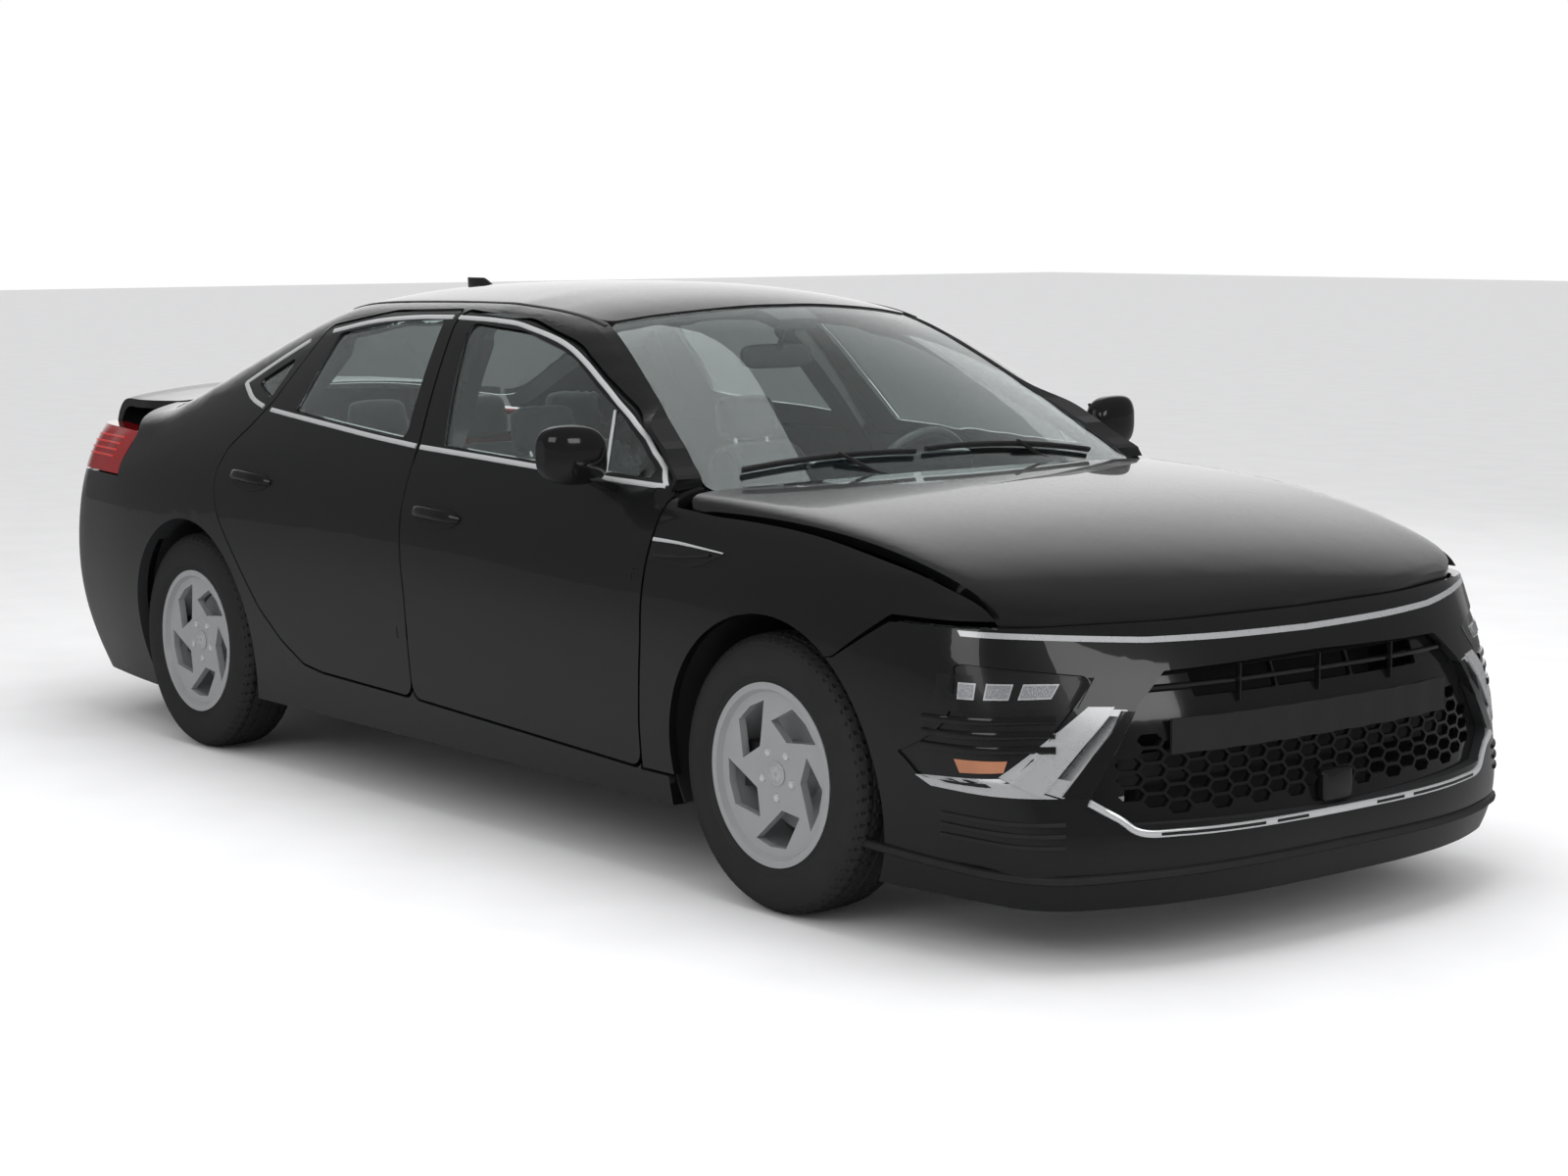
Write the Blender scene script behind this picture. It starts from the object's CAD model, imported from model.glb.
"""Looks of a four-door saloon car, laid out as an add-on and run as a script."""
import math

import bmesh
import bpy
import numpy as np
from mathutils import Matrix, Vector


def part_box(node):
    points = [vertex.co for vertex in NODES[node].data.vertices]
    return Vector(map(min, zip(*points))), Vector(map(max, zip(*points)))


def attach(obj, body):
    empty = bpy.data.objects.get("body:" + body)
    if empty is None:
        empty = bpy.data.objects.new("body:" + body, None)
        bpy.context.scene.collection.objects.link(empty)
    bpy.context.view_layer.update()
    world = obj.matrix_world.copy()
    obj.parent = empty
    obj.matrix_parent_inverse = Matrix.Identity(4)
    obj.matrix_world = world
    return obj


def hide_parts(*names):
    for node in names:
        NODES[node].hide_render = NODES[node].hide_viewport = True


bl_info = {
    "name": "Saloon car looks",
    "version": (1, 0, 0),
    "blender": (4, 5, 0),
    "location": "3D View > Sidebar > Saloon",
    "description": "Dresses a four-door saloon car: paint, glass, wheels, lamps, trim and cabin",
    "category": "Object",
}

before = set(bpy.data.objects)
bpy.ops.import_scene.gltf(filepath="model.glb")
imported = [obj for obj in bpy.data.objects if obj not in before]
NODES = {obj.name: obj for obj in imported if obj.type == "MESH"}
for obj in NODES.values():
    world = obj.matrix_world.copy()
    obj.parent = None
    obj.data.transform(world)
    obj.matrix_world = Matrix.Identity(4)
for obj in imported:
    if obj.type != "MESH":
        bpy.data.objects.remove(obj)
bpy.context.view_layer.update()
SIDES = (("left", 1), ("right", -1))
CORNERS = (("front_left", 1), ("front_right", -1), ("rear_left", 1), ("rear_right", -1))

# Places clear of the car's side, nose, tail and roof, from which points are laid on it
OUTSIDE = 1.3
AHEAD = 2.6
BEHIND = -2.8
ABOVE = 1.7


# Settings

def colour_setting(name, description, default):
    return bpy.props.FloatVectorProperty(name=name, description=description, subtype="COLOR", size=4,
                                         min=0, max=1, default=(*default, 1))


def length_setting(name, description, default):
    return bpy.props.FloatProperty(name=name, description=description, subtype="DISTANCE", unit="LENGTH",
                                   default=default)


def angle_setting(name, description, default):
    return bpy.props.FloatProperty(name=name, description=description, subtype="ANGLE", default=default)


def power_setting(name, description, default):
    return bpy.props.FloatProperty(name=name, description=description, subtype="POWER", unit="POWER",
                                   default=default)


class BodyLook(bpy.types.PropertyGroup):
    paint: colour_setting("Paint", "Colour of the outer panels", (0.0055, 0.0056, 0.0062))
    inner: colour_setting("Inner side", "Lining on a panel's inner side", (0.028, 0.029, 0.031))
    silver: colour_setting("Satin silver", "Blades, strips and window frames", (0.56, 0.57, 0.58))
    glass: colour_setting("Glass", "Tint of the panes", (0.78, 0.85, 0.84))
    strip_width: length_setting("Strip width", "Bright strip round the windows", 0.015)


class WheelLook(bpy.types.PropertyGroup):
    rim: colour_setting("Rim", "Cast and painted rim", (0.44, 0.45, 0.46))
    rubber: colour_setting("Rubber", "Tyre", (0.017, 0.017, 0.018))
    groove: length_setting("Groove depth", "Depth of the tread's grooves", 0.007)
    blocks: bpy.props.IntProperty(name="Blocks", description="Tread blocks round one tyre", default=66)


class CabinLook(bpy.types.PropertyGroup):
    cloth: colour_setting("Cloth", "Seat cloth", (0.030, 0.031, 0.034))
    plastic: colour_setting("Plastic", "Dashboard and door linings", (0.024, 0.025, 0.027))
    pressure: bpy.props.FloatProperty(name="Pressure", description="How hard the seat pads are filled",
                                      default=4.0)
    voxel: length_setting("Cell", "Cell size of the seat pads' mesh", 0.012)


class StageLook(bpy.types.PropertyGroup):
    floor: colour_setting("Floor", "Colour of the floor", (0.80, 0.80, 0.81))
    eye: bpy.props.FloatVectorProperty(
        name="Camera", description="Where the camera stands", subtype="TRANSLATION", unit="LENGTH",
        default=(6.6603, -5.0440, 1.6174))
    yaw: angle_setting("Yaw", "Camera's heading from +X", 2.4609)
    pitch: angle_setting("Pitch", "Camera's tilt up", -0.1264)
    roll: angle_setting("Roll", "Camera's lean", 0.0019)
    lens: bpy.props.FloatProperty(name="Lens", description="Focal length", unit="CAMERA", default=66.2)
    overhead: power_setting("Overhead lamp", "Power of the lamp over the roof", 160)
    side: power_setting("Side lamps", "Power of each side lamp", 40)


# Surfaces as whole arrays

def unit(vectors):
    """Each vector divided by its length."""
    return vectors / np.maximum(np.linalg.norm(vectors, axis=-1, keepdims=True), 1e-12)


def smooth_line(points, count):
    """Evenly spread points of the Catmull-Rom curve through the given ones.

    Between b and c, with neighbours a and d, the curve at share t is half of
    2b + t(c - a) + t^2(2a - 5b + 4c - d) + t^3(3b - a - 3c + d).
    """
    points = np.asarray(points, float)
    padded = np.vstack([2 * points[0] - points[1], points, 2 * points[-1] - points[-2]])
    spans = len(padded) - 3
    share = np.linspace(0, spans, 24 * spans + 1)
    index = np.minimum(share.astype(int), spans - 1)
    t = (share - index)[:, None]
    a, b, c, d = (padded[index + step] for step in range(4))
    fine = (2 * b + t * (c - a) + t**2 * (2 * a - 5 * b + 4 * c - d) + t**3 * (3 * b - a - 3 * c + d)) / 2
    run = np.concatenate([[0], np.cumsum(np.linalg.norm(np.diff(fine, axis=0), axis=1))])
    at = np.linspace(0, run[-1], count)
    return np.stack([np.interp(at, run, fine[:, axis]) for axis in range(fine.shape[1])], 1)


def triangles(names):
    """Corners of every triangle of the named CAD nodes, as one array."""
    parts = []
    for name in names:
        mesh = NODES[name].data
        mesh.calc_loop_triangles()
        corners = np.empty(len(mesh.vertices) * 3)
        mesh.vertices.foreach_get("co", corners)
        index = np.empty(len(mesh.loop_triangles) * 3, np.int32)
        mesh.loop_triangles.foreach_get("vertices", index)
        parts.append(corners.reshape(-1, 3)[index].reshape(-1, 3, 3))
    return np.concatenate(parts)


def laid_on(names, points, direction, lift=0.0):
    """Points moved along a direction onto the first surface they meet, then out by a lift, with normals.

    The line from o along d meets the triangle a, b, c where o + s d = a + u(b - a) + v(c - a), with
    u and v not negative and u + v at most 1. A point that meets nothing takes s and the normal from
    the nearest ones in its order that do.
    """
    points = np.asarray(points, float)
    shape = points.shape
    flat = points.reshape(-1, 3)
    d = unit(np.asarray(direction, float))
    corners = triangles(names)
    across = flat - (flat @ d)[:, None] * d
    shadow = corners - (corners @ d)[..., None] * d
    near = ((shadow.min(1) <= across.max(0) + 0.01) & (shadow.max(1) >= across.min(0) - 0.01)).all(1)
    corners = corners[near]
    a = corners[:, 0]
    first = corners[:, 1] - a
    second = corners[:, 2] - a
    cross = np.cross(d, second)
    scale = np.einsum("ij,ij->i", first, cross)
    usable = np.abs(scale) > 1e-12
    a, first, second, cross, scale = a[usable], first[usable], second[usable], cross[usable], scale[usable]
    faces = unit(np.cross(first, second))
    reach = np.full(len(flat), np.nan)
    normals = np.tile(-d, (len(flat), 1))
    for start in range(0, len(flat), 256):
        offset = flat[start:start + 256, None] - a[None]
        u = np.einsum("nij,ij->ni", offset, cross) / scale
        turned = np.cross(offset, first[None])
        v = turned @ d / scale
        s = np.einsum("nij,ij->ni", turned, second) / scale
        s = np.where((u > -1e-6) & (v > -1e-6) & (u + v < 1 + 1e-6) & (s > 0), s, np.inf)
        best = s.argmin(1)
        found = s[np.arange(len(s)), best]
        hit = np.isfinite(found)
        reach[start:start + 256][hit] = found[hit]
        normals[start:start + 256][hit] = faces[best[hit]]
    normals *= -np.sign(normals @ d)[:, None] + (normals @ d == 0)[:, None]
    order = np.arange(len(flat))
    good = np.isfinite(reach)
    if not good.any():
        raise RuntimeError("no surface under a piece laid on %s" % ", ".join(names))
    reach = np.interp(order, order[good], reach[good])
    normals = unit(np.stack([np.interp(order, order[good], normals[good, axis]) for axis in range(3)], 1))
    placed = flat + reach[:, None] * d + lift * normals
    return placed.reshape(shape), normals.reshape(shape)


def carried(path, ups, profile):
    """A profile carried along a path.

    At each place the side is up x run and the upright is run x side. A profile point (p, q) lands
    on path + p side + q upright.
    """
    path = np.asarray(path, float)
    run = unit(np.gradient(path, axis=0))
    side = unit(np.cross(np.broadcast_to(ups, path.shape), run))
    upright = np.cross(run, side)
    profile = np.asarray(profile, float)
    if profile.ndim == 2:
        profile = profile[None]
    return path[:, None] + profile[..., 0, None] * side[:, None] + profile[..., 1, None] * upright[:, None]


def ellipse(half_width, half_height, count=12, power=2.0):
    """A closed superellipse: cos and sin of the turn, each raised to 2 / power with its sign kept."""
    turn = np.linspace(0, 2 * np.pi, count, endpoint=False)
    x = np.sign(np.cos(turn)) * np.abs(np.cos(turn)) ** (2 / power)
    y = np.sign(np.sin(turn)) * np.abs(np.sin(turn)) ** (2 / power)
    return np.stack([half_width * x, half_height * y], 1)


def turned(profile, count, centre):
    """A profile of (distance from the axle, place along it) turned about an axle along Y."""
    turn = np.linspace(0, 2 * np.pi, count, endpoint=False)[:, None]
    radius, along = profile.T
    return joined(centre[0] + radius * np.cos(turn), centre[1] + along, centre[2] + radius * np.sin(turn))


def bilinear(corners, rows, cols):
    """Points between four corners: the corners' mix by the shares s and t along the two edges."""
    a, b, c, d = (np.asarray(corner, float) for corner in corners)
    s = np.linspace(0, 1, rows)[:, None, None]
    t = np.linspace(0, 1, cols)[None, :, None]
    return a * (1 - s) * (1 - t) + b * (1 - s) * t + c * s * t + d * s * (1 - t)


class Shell:
    """Sheets of points gathered into one mesh."""

    def __init__(self):
        self.points = []
        self.faces = []
        self.count = 0

    def sheet(self, grid, wrap_rows=False, wrap_cols=False, cap=False):
        """Adds a grid with a quad between neighbouring points, and a face over each open end if capped."""
        rows, cols = grid.shape[:2]
        row, col = np.meshgrid(np.arange(rows if wrap_rows else rows - 1),
                               np.arange(cols if wrap_cols else cols - 1), indexing="ij")
        next_row = (row + 1) % rows
        next_col = (col + 1) % cols
        quads = np.stack([row * cols + col, next_row * cols + col, next_row * cols + next_col,
                          row * cols + next_col], -1).reshape(-1, 4) + self.count
        self.faces += quads.tolist()
        if cap:
            self.faces.append((np.arange(cols)[::-1] + self.count).tolist())
            self.faces.append((np.arange(cols) + self.count + (rows - 1) * cols).tolist())
        self.points.append(grid.reshape(-1, 3))
        self.count += rows * cols
        return self

    def tube(self, grid):
        """Adds rings of points joined along their length and closed at both ends."""
        return self.sheet(grid, wrap_cols=True, cap=True)

    def bar(self, path, ups, profile):
        """Adds a profile carried along a path and closed at both ends."""
        return self.tube(carried(path, ups, profile))

    def bar_on(self, names, start, direction, lift, profile):
        """Adds a profile carried along a line that is laid on the named nodes."""
        path, normals = laid_on(names, start, direction, lift)
        return self.bar(path, normals, profile)

    def plate_on(self, names, start, direction, lift, thick):
        """Adds a closed plate laid on the named nodes."""
        return self.plate(*laid_on(names, start, direction, lift), thick)

    def plate(self, grid, normals, thick):
        """Adds a closed plate: the grid, its copy a thickness below, and the wall round them."""
        rows, cols = grid.shape[:2]
        under = grid - thick * normals
        rim = np.concatenate([np.arange(cols), np.arange(1, rows) * cols + cols - 1,
                              (rows - 1) * cols + np.arange(cols - 2, -1, -1),
                              np.arange(rows - 2, 0, -1) * cols])
        start = self.count
        self.sheet(grid)
        self.sheet(under)
        after = np.roll(rim, -1)
        wall = np.stack([rim, after, after + rows * cols, rim + rows * cols], 1) + start
        self.faces += wall.tolist()
        return self

    def mesh(self, name):
        """One closed mesh of all sheets, its faces turned outwards."""
        mesh = bpy.data.meshes.new(name)
        mesh.from_pydata(np.concatenate(self.points).tolist(), [], self.faces)
        form = bmesh.new()
        form.from_mesh(mesh)
        bmesh.ops.remove_doubles(form, verts=form.verts, dist=1e-6)
        bmesh.ops.recalc_face_normals(form, faces=form.faces)
        form.to_mesh(mesh)
        form.free()
        return mesh

    def made(self, name, material, body, slot, sharp=40, replaces=()):
        """The finished piece: smooth but for edges sharper than an angle in degrees, riding on its body."""
        mesh = shaded(self.mesh(name), sharp)
        mesh.materials.append(material)
        return placed(bpy.data.objects.new(name, mesh), body, slot, replaces)


def shaded(mesh, sharp=180):
    """The mesh made smooth but for edges sharper than an angle in degrees."""
    mesh.polygons.foreach_set("use_smooth", np.ones(len(mesh.polygons), bool))
    if sharp < 180:
        mesh.set_sharp_from_angle(angle=math.radians(sharp))
    return mesh


def joined(*axes):
    """Places from their x, y and z, each an array or a number."""
    return np.stack(np.broadcast_arrays(*axes), -1)


def placed(piece, body, slot, replaces=()):
    """Links a piece and tells the frame what it rides on and which finish it stands for."""
    if piece.name not in bpy.context.scene.collection.objects:
        bpy.context.scene.collection.objects.link(piece)
    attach(piece, body)
    if replaces:
        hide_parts(*replaces)
    return piece


# Finishes

def shader_group(name, inputs, outputs):
    """An empty node group with named value inputs and outputs."""
    group = bpy.data.node_groups.new(name, "ShaderNodeTree")
    for label, kind, default in inputs:
        socket = group.interface.new_socket(label, in_out="INPUT", socket_type=kind)
        if default is not None:
            socket.default_value = default
    for label, kind in outputs:
        group.interface.new_socket(label, in_out="OUTPUT", socket_type=kind)
    return group, group.nodes.new("NodeGroupInput"), group.nodes.new("NodeGroupOutput")


def feed(tree, value, socket):
    """Links an output to a socket, or sets the socket to a number or colour."""
    if isinstance(value, bpy.types.NodeSocket):
        tree.links.new(value, socket)
    else:
        socket.default_value = value


def math_node(tree, operation, first, second=None, clamp=False):
    """One Math node; each operand is a socket or a number."""
    node = tree.nodes.new("ShaderNodeMath")
    node.operation = operation
    node.use_clamp = clamp
    for index, operand in enumerate((first, second)):
        if operand is not None:
            feed(tree, operand, node.inputs[index])
    return node.outputs[0]


def grain_group():
    """Fine and coarse noise for any surface: height for a bump, and a slow change of tone."""
    group, given, result = shader_group(
        "Surface grain", [("Place", "NodeSocketVector", None), ("Scale", "NodeSocketFloat", 400.0)],
        [("Height", "NodeSocketFloat"), ("Tone", "NodeSocketFloat")])
    fine = group.nodes.new("ShaderNodeTexNoise")
    slow = group.nodes.new("ShaderNodeTexNoise")
    fine.inputs["Detail"].default_value = 3
    slow.inputs["Detail"].default_value = 4
    group.links.new(given.outputs["Place"], fine.inputs["Vector"])
    group.links.new(given.outputs["Place"], slow.inputs["Vector"])
    group.links.new(given.outputs["Scale"], fine.inputs["Scale"])
    group.links.new(math_node(group, "MULTIPLY", given.outputs["Scale"], 0.02), slow.inputs["Scale"])
    group.links.new(fine.outputs["Fac"], result.inputs["Height"])
    group.links.new(slow.outputs["Fac"], result.inputs["Tone"])
    return group


def weave_group():
    """Crossed threads: two sine waves over the surface, with the higher one on top."""
    group, given, result = shader_group(
        "Woven threads", [("Place", "NodeSocketVector", None), ("Pitch", "NodeSocketFloat", 900.0)],
        [("Height", "NodeSocketFloat"), ("Tone", "NodeSocketFloat")])
    parts = group.nodes.new("ShaderNodeSeparateXYZ")
    group.links.new(given.outputs["Place"], parts.inputs[0])
    waves = []
    for first, second in (("X", "Z"), ("Y", "Z")):
        mixed = math_node(group, "ADD", parts.outputs[first], parts.outputs[second])
        phase = math_node(group, "MULTIPLY", mixed, given.outputs["Pitch"])
        waves.append(math_node(group, "SINE", phase))
    top = math_node(group, "MAXIMUM", waves[0], waves[1])
    group.links.new(math_node(group, "MULTIPLY", top, 0.5), result.inputs["Height"])
    noise = group.nodes.new("ShaderNodeTexNoise")
    noise.inputs["Scale"].default_value = 30
    group.links.new(given.outputs["Place"], noise.inputs["Vector"])
    group.links.new(noise.outputs["Fac"], result.inputs["Tone"])
    return group


def inner_group():
    """1 on faces that look towards the car's middle line, 0 on faces that look away from it."""
    group, given, result = shader_group(
        "Inner side", [("Place", "NodeSocketVector", None), ("Facing", "NodeSocketVector", None),
                       ("Middle height", "NodeSocketFloat", 0.62)],
        [("Mask", "NodeSocketFloat")])
    place = group.nodes.new("ShaderNodeSeparateXYZ")
    facing = group.nodes.new("ShaderNodeSeparateXYZ")
    group.links.new(given.outputs["Place"], place.inputs[0])
    group.links.new(given.outputs["Facing"], facing.inputs[0])
    across = math_node(group, "MULTIPLY", place.outputs["Y"], facing.outputs["Y"])
    above = math_node(group, "SUBTRACT", place.outputs["Z"], given.outputs["Middle height"])
    upward = math_node(group, "MULTIPLY", above, facing.outputs["Z"])
    lengthwise = math_node(group, "MULTIPLY", math_node(group, "MULTIPLY", place.outputs["X"], 0.25),
                           facing.outputs["X"])
    total = math_node(group, "ADD", math_node(group, "ADD", across, upward), lengthwise)
    mask = math_node(group, "MULTIPLY_ADD", total, -30.0, clamp=True)
    group.links.new(mask, result.inputs["Mask"])
    return group


GROUPS = {}


def shared(name):
    """The named node group, made the first time it is asked for."""
    makers = {"grain": grain_group, "weave": weave_group, "inner": inner_group}
    if name not in GROUPS:
        GROUPS[name] = makers[name]()
    return GROUPS[name]


def placed_group(tree, name, place, **values):
    """A shared group put into a material with its own values."""
    node = tree.nodes.new("ShaderNodeGroup")
    node.node_tree = shared(name)
    tree.links.new(place, node.inputs["Place"])
    for label, value in values.items():
        node.inputs[label].default_value = value
    return node


def mixed(tree, share, first, second):
    """A colour mixed from two by a share."""
    mix = tree.nodes.new("ShaderNodeMix")
    mix.data_type = "RGBA"
    tree.links.new(share, mix.inputs["Factor"])
    feed(tree, first, mix.inputs["A"])
    feed(tree, second, mix.inputs["B"])
    return mix.outputs["Result"]


def toned(colour, factor):
    """A colour with its three channels multiplied."""
    return tuple(min(1.0, channel * factor) for channel in colour[:3]) + (1.0,)


FINISHES = {}


def finish(name, colour, roughness, metallic=0.0, coat=0.0, grain=400.0, bump=0.02, depth=0.0005, spread=0.25,
           pattern="grain", lining=None, glow=0.0, specular=0.5, sheen=0.0):
    """A named finish: a Principled shader whose colour, roughness and bump follow a shared pattern."""
    if name in FINISHES:
        return FINISHES[name]
    material = bpy.data.materials.new(name)
    material.use_nodes = True
    tree = material.node_tree
    shader = tree.nodes["Principled BSDF"]
    shader.inputs["Metallic"].default_value = metallic
    shader.inputs["Coat Roughness"].default_value = 0.02
    shader.inputs["Specular IOR Level"].default_value = specular
    shader.inputs["Sheen Weight"].default_value = sheen
    coordinates = tree.nodes.new("ShaderNodeTexCoord")
    place = coordinates.outputs["Object"]
    if pattern == "weave":
        texture = placed_group(tree, pattern, place, Pitch=grain)
    else:
        texture = placed_group(tree, pattern, place, Scale=grain)
    tone = texture.outputs["Tone"]
    outer = mixed(tree, tone, toned(colour, 1 - spread), toned(colour, 1 + spread))
    rough = math_node(tree, "ADD", math_node(tree, "MULTIPLY", tone, roughness * 0.3), roughness * 0.85)
    relief = tree.nodes.new("ShaderNodeBump")
    relief.inputs["Strength"].default_value = bump
    relief.inputs["Distance"].default_value = depth
    tree.links.new(texture.outputs["Height"], relief.inputs["Height"])
    tree.links.new(relief.outputs["Normal"], shader.inputs["Normal"])
    if lining:
        inner = placed_group(tree, "inner", place)
        tree.links.new(coordinates.outputs["Normal"], inner.inputs["Facing"])
        mask = inner.outputs["Mask"]
        outer = mixed(tree, mask, outer, lining)
        rough = math_node(tree, "MAXIMUM", rough, math_node(tree, "MULTIPLY", mask, 0.65))
        kept = math_node(tree, "SUBTRACT", 1.0, mask)
        tree.links.new(math_node(tree, "MULTIPLY", kept, coat), shader.inputs["Coat Weight"])
    else:
        shader.inputs["Coat Weight"].default_value = coat
    tree.links.new(outer, shader.inputs["Base Color"])
    tree.links.new(rough, shader.inputs["Roughness"])
    if glow:
        tree.links.new(outer, shader.inputs["Emission Color"])
        shader.inputs["Emission Strength"].default_value = glow
    FINISHES[name] = material
    return material


def clear_finish(name, tint):
    """Glass or a lamp lens: clear, tinted, and open to the lamps' light."""
    if name in FINISHES:
        return FINISHES[name]
    material = bpy.data.materials.new(name)
    material.use_nodes = True
    tree = material.node_tree
    shader = tree.nodes["Principled BSDF"]
    shader.inputs["Transmission Weight"].default_value = 1.0
    shader.inputs["IOR"].default_value = 1.45
    coordinates = tree.nodes.new("ShaderNodeTexCoord")
    texture = placed_group(tree, "grain", coordinates.outputs["Object"], Scale=60.0)
    tree.links.new(mixed(tree, texture.outputs["Tone"], toned(tint, 0.97), toned(tint, 1.03)),
                   shader.inputs["Base Color"])
    shader.inputs["Roughness"].default_value = 0.0
    open_way = tree.nodes.new("ShaderNodeBsdfTransparent")
    open_way.inputs["Color"].default_value = toned(tint, 0.92)
    light = tree.nodes.new("ShaderNodeLightPath")
    mix = tree.nodes.new("ShaderNodeMixShader")
    output = tree.nodes["Material Output"]
    tree.links.new(light.outputs["Is Shadow Ray"], mix.inputs[0])
    tree.links.new(shader.outputs[0], mix.inputs[1])
    tree.links.new(open_way.outputs[0], mix.inputs[2])
    tree.links.new(mix.outputs[0], output.inputs["Surface"])
    FINISHES[name] = material
    return material


PLAIN = {
    "gloss_black": ((0.006, 0.006, 0.0065, 1), 0.12, dict(coat=0.6, grain=1500.0, bump=0.004, spread=0.1)),
    "grained_black": ((0.015, 0.015, 0.016, 1), 0.48, dict(grain=1400.0, bump=0.12, spread=0.15)),
    "bright_strip": ((0.82, 0.83, 0.84, 1), 0.14, dict(metallic=0.6, grain=1800.0, bump=0.004, spread=0.04)),
    "lamp_room": ((0.010, 0.010, 0.011, 1), 0.25, dict(coat=0.3, grain=900.0, bump=0.02, spread=0.2)),
    "lamp_unit": ((0.34, 0.35, 0.37, 1), 0.16,
                  dict(metallic=0.6, coat=1.0, grain=260.0, bump=0.6, depth=0.003, spread=0.45, glow=0.05)),
    "mirror_glass": ((0.75, 0.77, 0.79, 1), 0.03, dict(metallic=1.0, grain=400.0, bump=0.001, spread=0.02)),
    "coated_steel": ((0.055, 0.055, 0.058, 1), 0.42, dict(metallic=0.6, grain=700.0, bump=0.06)),
    "underbody_coat": ((0.018, 0.018, 0.019, 1), 0.7, dict(grain=260.0, bump=0.25, depth=0.001)),
    "cast_metal": ((0.22, 0.22, 0.225, 1), 0.5, dict(metallic=0.8, grain=500.0, bump=0.2)),
    "exhaust_steel": ((0.36, 0.34, 0.31, 1), 0.3, dict(metallic=0.95, grain=300.0, bump=0.03)),
    "grip_leather": ((0.016, 0.016, 0.017, 1), 0.42, dict(grain=1500.0, bump=0.15)),
    "screen": ((0.012, 0.013, 0.016, 1), 0.10, dict(coat=0.8, grain=900.0, bump=0.01)),
    "red_lens": ((0.28, 0.006, 0.008, 1), 0.08, dict(coat=1.0, grain=500.0, bump=0.01, spread=0.2)),
    "red_line": ((0.55, 0.02, 0.015, 1), 0.12,
                 dict(coat=1.0, grain=900.0, bump=0.15, spread=0.25, glow=0.15)),
    "red_reflector": ((0.42, 0.01, 0.01, 1), 0.15, dict(coat=1.0, grain=520.0, bump=0.3, depth=0.001)),
    "amber_reflector": ((0.40, 0.17, 0.09, 1), 0.18,
                        dict(coat=0.8, grain=520.0, bump=0.25, depth=0.001, spread=0.25)),
}


def plain(name):
    """A finish from the table above."""
    colour, roughness, more = PLAIN[name]
    return finish(name, colour, roughness, **more)


def chosen(group, name):
    """A colour from the settings on the scene."""
    return tuple(getattr(getattr(bpy.context.scene, "saloon_" + group), name))


def paint():
    """Body paint outside, and a dull lining on the sides that look inwards."""
    return finish("gloss_paint", chosen("body", "paint"), 0.30, coat=1.0, grain=2600.0, bump=0.004,
                  depth=0.0002, spread=0.12, lining=chosen("body", "inner"), specular=0.3)


def paint_plain():
    """Body paint without a lining, for pieces painted all over."""
    return finish("gloss_paint_plain", chosen("body", "paint"), 0.30, coat=1.0, grain=2600.0, bump=0.004,
                  depth=0.0002, spread=0.12, specular=0.3)


def satin_silver():
    """Blades, strips, caps and frames."""
    return finish("satin_silver", chosen("body", "silver"), 0.28, metallic=0.5, grain=2200.0, bump=0.01,
                  spread=0.05)


def rubber():
    """Tyres, valves and wiper blades."""
    return finish("tyre_rubber", chosen("wheels", "rubber"), 0.62, grain=900.0, bump=0.10, spread=0.22)


def rim_silver():
    """Rims."""
    return finish("rim_silver", chosen("wheels", "rim"), 0.34, metallic=0.45, grain=1800.0, bump=0.02,
                  spread=0.05)


def cabin_plastic():
    """Grained plastic of the dashboard, the linings and the seats' bases."""
    return finish("cabin_plastic", chosen("cabin", "plastic"), 0.55, grain=1300.0, bump=0.18, spread=0.18)


def seat_cloth():
    """Woven cloth of the seat pads."""
    return finish("seat_cloth", chosen("cabin", "cloth"), 0.85, grain=2600.0, bump=0.35, depth=0.0008,
                  spread=0.25, pattern="weave", sheen=0.25)


def glass():
    """Window panes."""
    return clear_finish("window_glass", chosen("body", "glass"))


# Stage

class SALOON_OT_stage(bpy.types.Operator):
    """A pale floor, a soft studio and the camera"""
    bl_idname = "saloon.stage"
    bl_label = "Stage"

    def execute(self, context):
        scene = context.scene
        look = scene.saloon_stage
        scene.view_settings.view_transform = "Standard"
        floor = bpy.data.meshes.new("floor")
        reach = 60.0
        corners = [(-reach, -reach, 0), (reach, -reach, 0), (reach, reach, 0), (-reach, reach, 0)]
        floor.from_pydata(corners, [], [(0, 1, 2, 3)])
        ground = bpy.data.objects.new("floor", floor)
        scene.collection.objects.link(ground)
        floor.materials.append(floor_finish(tuple(look.floor)))
        studio_world(scene)
        studio_lamps(look)
        camera = bpy.data.cameras.new("camera")
        camera.lens = look.lens
        camera.sensor_width = 36
        viewer = bpy.data.objects.new("camera", camera)
        scene.collection.objects.link(viewer)
        viewer.matrix_world = camera_place(look)
        scene.camera = viewer
        return {"FINISHED"}


def camera_place(look):
    """The camera's matrix from its place, heading, tilt and lean."""
    forward = Vector((math.cos(look.pitch) * math.cos(look.yaw), math.cos(look.pitch) * math.sin(look.yaw),
                      math.sin(look.pitch)))
    right = forward.cross(Vector((0, 0, 1))).normalized()
    turn = Matrix.Rotation(look.roll, 3, forward)
    right = turn @ right
    up = right.cross(forward)
    basis = Matrix((right, up, -forward)).transposed().to_4x4()
    return Matrix.Translation(look.eye) @ basis


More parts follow.
